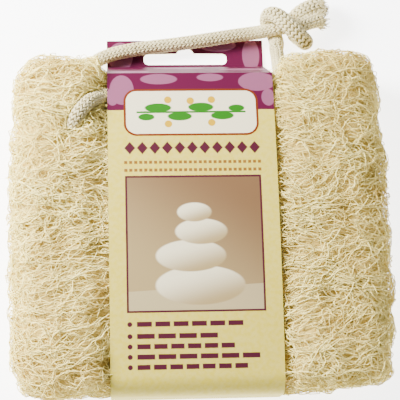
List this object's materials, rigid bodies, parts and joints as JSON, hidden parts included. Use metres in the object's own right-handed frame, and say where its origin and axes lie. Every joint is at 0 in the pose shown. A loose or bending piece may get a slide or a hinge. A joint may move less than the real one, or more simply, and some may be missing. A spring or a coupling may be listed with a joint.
{
  "type": "natural loofah sponge",
  "caption": "Flat pad of natural loofah fibre in a folded card sleeve with a hang tab, with a knotted cotton cord loop through one corner.",
  "frame": {"origin": "middle of the sleeve's back panel, on the outer face that the part rests on", "axes": "+Z out of the pad's front face, +X to the right across the pad seen from the front, +Y up the pad towards the hang tab"},
  "size_m": [0.1336, 0.1474, 0.0306],
  "materials": {
    "loofah_fibre": "dry raw plant fibre net, matt",
    "printed_card": "printed thin card, slight gloss",
    "cotton_cord": "knitted cotton, matt"
  },
  "bodies": {
    "root": {"loofah_pad": "loofah_fibre", "card_sleeve": "printed_card", "cord_front": "cotton_cord", "cord_back": "cotton_cord", "cord_knot": "cotton_cord"}
  },
  "joints": []
}
